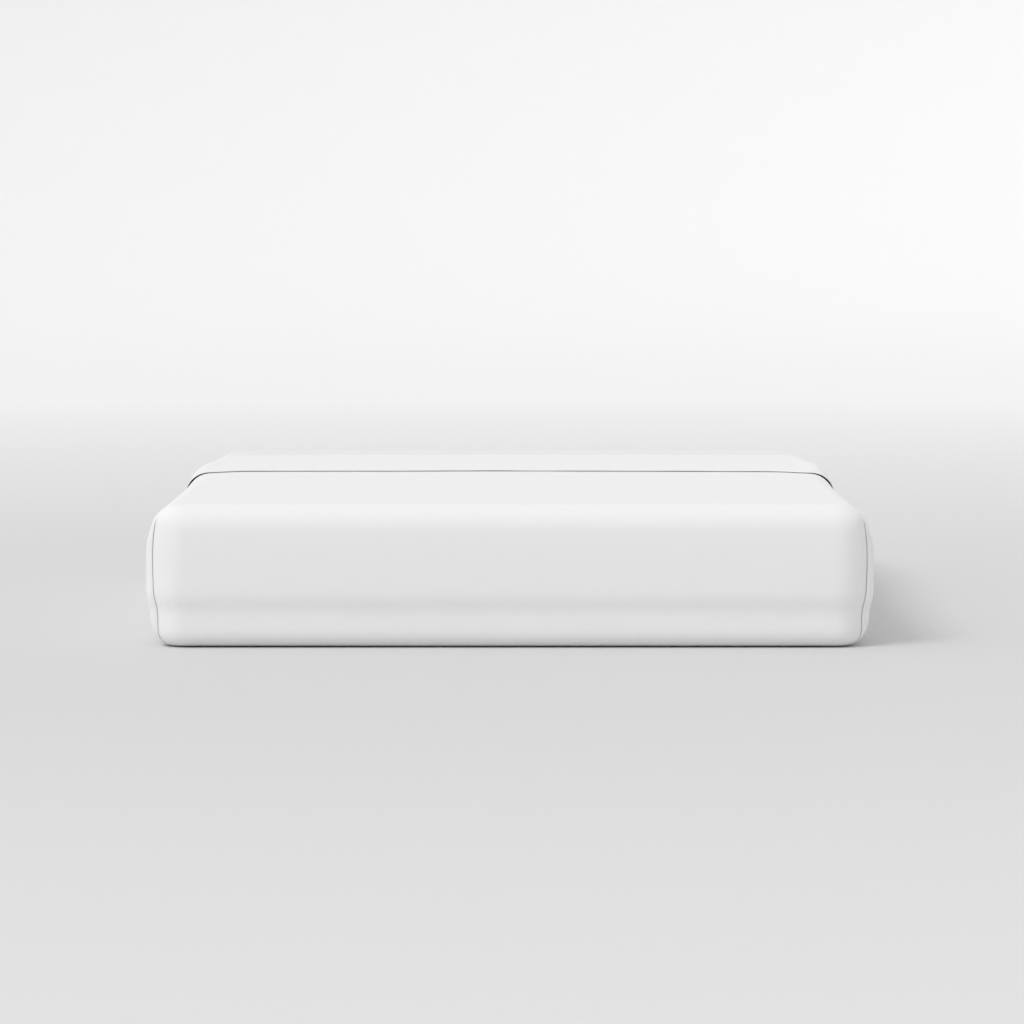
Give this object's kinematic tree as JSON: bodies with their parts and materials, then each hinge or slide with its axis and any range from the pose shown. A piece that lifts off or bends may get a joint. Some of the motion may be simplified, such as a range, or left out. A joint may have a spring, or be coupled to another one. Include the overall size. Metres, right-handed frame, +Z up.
{
  "type": "memory foam mattress",
  "caption": "Foam mattress with a zipped knit cover, dressed in a tucked white flat sheet turned down in a deep cuff at the head.",
  "frame": {"origin": "floor level, under the middle of the mattress", "axes": "+Z up through the thickness, +Y towards the head end, -Y towards the foot end, X across the width"},
  "size_m": [1.5236, 2.0284, 0.3048],
  "materials": {
    "memory_foam": "open-cell slow-recovery polyurethane foam, matt",
    "transition_foam": "open-cell polyurethane foam, matt",
    "support_foam": "high-density polyurethane foam, matt",
    "fire_knit": "thin stretch knit with a soft loose surface",
    "top_knit": "soft white double knit, matt with a faint sheen",
    "border_knit": "light grey spacer knit, matt",
    "base_cloth": "grey non-slip base cloth",
    "seam_cord": "twisted cotton-look cord",
    "zip_tape": "woven polyester tape",
    "zip_coil": "nylon coil, satin",
    "zip_metal": "nickel-coloured, lightly brushed",
    "label_cloth": "blank non-woven label cloth",
    "sheet_cotton": "fine white cotton percale, smooth with a faint sheen"
  },
  "bodies": {
    "mattress": {"memory_foam_layer": "memory_foam", "transition_foam_layer": "transition_foam", "support_foam_core": "support_foam", "fire_sleeve_tube": "fire_knit", "fire_sleeve_head_end": "fire_knit", "fire_sleeve_foot_end": "fire_knit", "cover_top_panel": "top_knit", "cover_upper_border": "border_knit", "cover_lower_border": "border_knit", "cover_bottom_panel": "base_cloth", "top_seam_cord": "seam_cord", "bottom_seam_cord": "seam_cord", "zip_upper_tape": "zip_tape", "zip_lower_tape": "zip_tape", "zip_upper_coil": "zip_coil", "zip_lower_coil": "zip_coil", "zip_end_stops": "zip_metal", "zip_garage": "border_knit", "care_label": "label_cloth", "flat_sheet": "sheet_cotton"},
    "zip_slider": {"slider_body": "zip_metal", "slider_crown": "zip_metal"},
    "zip_pull": {"pull_tab": "zip_metal"}
  },
  "joints": [
    {"name": "zip_travel", "type": "slide", "parent": "mattress", "child": "zip_slider", "axis": [-1, 0, 0], "range_m": [0, 1.2]},
    {"name": "pull_swing", "type": "hinge", "parent": "zip_slider", "child": "zip_pull", "pos_m": [0.6, 1.0074, 0.051], "axis": [0, 0, -1], "range_deg": [0, 170]}
  ]
}
